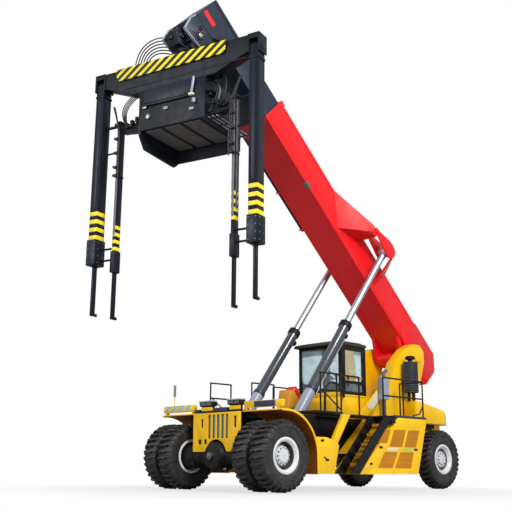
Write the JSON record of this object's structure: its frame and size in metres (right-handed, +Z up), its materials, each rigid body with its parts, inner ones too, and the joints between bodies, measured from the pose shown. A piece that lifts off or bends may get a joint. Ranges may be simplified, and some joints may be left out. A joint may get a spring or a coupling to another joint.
{
  "type": "reach stacker",
  "caption": "Reach stacker with a telescopic boom on a wheeled chassis, a central cab and a slewing spreader with long hanging grip legs.",
  "frame": {"origin": "ground level, below the middle of the machine's overall length and width", "axes": "+X forward, +Y to the machine's left, +Z up"},
  "size_m": [11.2518, 5.0688, 12.902],
  "materials": {
    "yellow_paint": "gloss paint",
    "grey_steel": "grey paint",
    "black_steel": "black paint",
    "lamp_plastic": "moulded lamp housing",
    "cab_black": "black paint",
    "roof_olive": "dark olive paint",
    "cab_glazing": "tinted safety glass",
    "seat_fabric": "dark seat cloth",
    "tyre_rubber": "black rubber",
    "rim_white": "silver white paint",
    "boom_red": "red gloss paint",
    "slate_paint": "dark slate paint",
    "barrel_grey": "dark grey paint",
    "chromed_rod": "hard chrome",
    "spreader_blue": "very dark blue paint",
    "hazard_yellow": "yellow and black warning paint",
    "panel_grey": "grey rub panels"
  },
  "bodies": {
    "chassis": {"chassis_frame": "yellow_paint", "front_panel": "yellow_paint", "front_axle": "yellow_paint", "rear_axle": "yellow_paint", "fender_left": "yellow_paint", "fender_right": "yellow_paint", "front_deck": "grey_steel", "walkway_left": "grey_steel", "walkway_right": "grey_steel", "side_tank_left": "yellow_paint", "side_tank_right": "yellow_paint", "service_box_left": "yellow_paint", "service_box_right": "yellow_paint", "stairs_left": "black_steel", "stairs_right": "black_steel", "counterweight": "yellow_paint", "boom_towers": "yellow_paint", "engine_block": "grey_steel", "engine_hood": "grey_steel", "air_cleaner": "black_steel", "exhaust_stack": "black_steel", "handrails_left": "black_steel", "handrails_right": "black_steel", "work_lamps": "lamp_plastic", "width_bars": "black_steel", "cab_base": "yellow_paint", "cab_frame": "cab_black", "cab_roof": "roof_olive", "cab_glass": "cab_glazing", "operator_seat": "seat_fabric", "steering_column": "cab_black"},
    "door": {"cab_door": "cab_black", "door_glass": "cab_glazing"},
    "front_wheels_left": {"front_tyres_left": "tyre_rubber", "front_rim_left": "rim_white"},
    "front_wheels_right": {"front_tyres_right": "tyre_rubber", "front_rim_right": "rim_white"},
    "steering_left": {"knuckle_left": "yellow_paint"},
    "steering_right": {"knuckle_right": "yellow_paint"},
    "rear_wheel_left": {"rear_tyre_left": "tyre_rubber", "rear_rim_left": "rim_white"},
    "rear_wheel_right": {"rear_tyre_right": "tyre_rubber", "rear_rim_right": "rim_white"},
    "boom": {"outer_boom": "boom_red", "hose_tray": "black_steel"},
    "boom_extension": {"inner_boom": "slate_paint", "boom_head": "slate_paint"},
    "barrel_left": {"lift_barrel_left": "barrel_grey"},
    "barrel_right": {"lift_barrel_right": "barrel_grey"},
    "rod_left": {"lift_rod_left": "chromed_rod"},
    "rod_right": {"lift_rod_right": "chromed_rod"},
    "hanger": {"hanger_yoke": "spreader_blue"},
    "spreader": {"slew_housing": "spreader_blue", "spreader_beam": "spreader_blue", "warning_plate": "hazard_yellow", "spreader_box": "spreader_blue", "rub_panels": "panel_grey"},
    "legs_left": {"leg_left": "spreader_blue"},
    "legs_right": {"leg_right": "spreader_blue"}
  },
  "joints": [
    {"name": "door_hinge", "type": "hinge", "parent": "chassis", "child": "door", "pos_m": [-1.78694, 0.75827, 3], "axis": [0, 0, 1], "range_deg": [0, 95]},
    {"name": "front_wheel_spin_left", "type": "hinge", "parent": "chassis", "child": "front_wheels_left", "pos_m": [2.82606, 1.64227, 0.835], "axis": [0, 1, 0], "continuous": true},
    {"name": "front_wheel_spin_right", "type": "hinge", "parent": "chassis", "child": "front_wheels_right", "pos_m": [2.82606, -1.77573, 0.835], "axis": [0, 1, 0], "continuous": true},
    {"name": "steer_left", "type": "hinge", "parent": "chassis", "child": "steering_left", "pos_m": [-4.17394, 0.99327, 0.835], "axis": [0, 0, 1], "range_deg": [-50, 50]},
    {"name": "steer_right", "type": "hinge", "parent": "chassis", "child": "steering_right", "pos_m": [-4.17394, -1.12673, 0.835], "axis": [0, 0, 1], "range_deg": [-50.5, 50.5]},
    {"name": "rear_wheel_spin_left", "type": "hinge", "parent": "steering_left", "child": "rear_wheel_left", "pos_m": [-4.17394, 1.46327, 0.835], "axis": [0, 1, 0], "continuous": true},
    {"name": "rear_wheel_spin_right", "type": "hinge", "parent": "steering_right", "child": "rear_wheel_right", "pos_m": [-4.17394, -1.59673, 0.835], "axis": [0, 1, 0], "continuous": true},
    {"name": "boom_luff", "type": "hinge", "parent": "chassis", "child": "boom", "pos_m": [-4.17394, -0.06673, 3.9], "axis": [0, 1, 0], "range_deg": [-16.5, 43.5]},
    {"name": "boom_extend", "type": "slide", "parent": "boom", "child": "boom_extension", "axis": [0.7254, 0, 0.6884], "range_m": [-2.4, 3.8]},
    {"name": "lift_swing_left", "type": "hinge", "parent": "chassis", "child": "barrel_left", "pos_m": [1.33606, 0.92327, 1.64], "axis": [0, 1, 0], "range_deg": [-2.51, 6.29]},
    {"name": "lift_swing_right", "type": "hinge", "parent": "chassis", "child": "barrel_right", "pos_m": [1.33606, -1.05673, 1.64], "axis": [0, 1, 0], "range_deg": [-2.51, 6.29]},
    {"name": "lift_stroke_left", "type": "slide", "parent": "barrel_left", "child": "rod_left", "axis": [-0.6057, 0, 0.7957], "range_m": [-2.379, 0.908]},
    {"name": "lift_stroke_right", "type": "slide", "parent": "barrel_right", "child": "rod_right", "axis": [-0.6057, 0, 0.7957], "range_m": [-2.379, 0.908]},
    {"name": "spreader_level", "type": "hinge", "parent": "boom_extension", "child": "hanger", "pos_m": [4.28992, -0.06673, 11.61482], "axis": [0, 1, 0], "range_deg": [-43.7, 16.7]},
    {"name": "spreader_slew", "type": "hinge", "parent": "hanger", "child": "spreader", "pos_m": [4.28992, -0.06673, 10.96982], "axis": [0, 0, 1], "range_deg": [-66.6, 58.4]},
    {"name": "clamp_left", "type": "hinge", "parent": "spreader", "child": "legs_left", "pos_m": [4.0044, 2.31914, 10.64982], "axis": [-0.2857, 0.9583, 0], "range_deg": [-8, 8]},
    {"name": "clamp_right", "type": "hinge", "parent": "spreader", "child": "legs_right", "pos_m": [5.38713, -2.31914, 10.64982], "axis": [-0.2857, 0.9583, 0], "range_deg": [-8.2, 8.2]}
  ],
  "couplings": [
    {"joint": "steer_right", "follows": "steer_left", "ratio": 1},
    {"joint": "lift_swing_left", "follows": "boom_luff", "ratio": 0.14},
    {"joint": "lift_swing_right", "follows": "boom_luff", "ratio": 0.14},
    {"joint": "lift_stroke_left", "follows": "boom_luff", "m_per_rad": -3.12},
    {"joint": "lift_stroke_right", "follows": "boom_luff", "m_per_rad": -3.12},
    {"joint": "spreader_level", "follows": "boom_luff", "ratio": -1},
    {"joint": "clamp_right", "follows": "clamp_left", "ratio": 1}
  ]
}
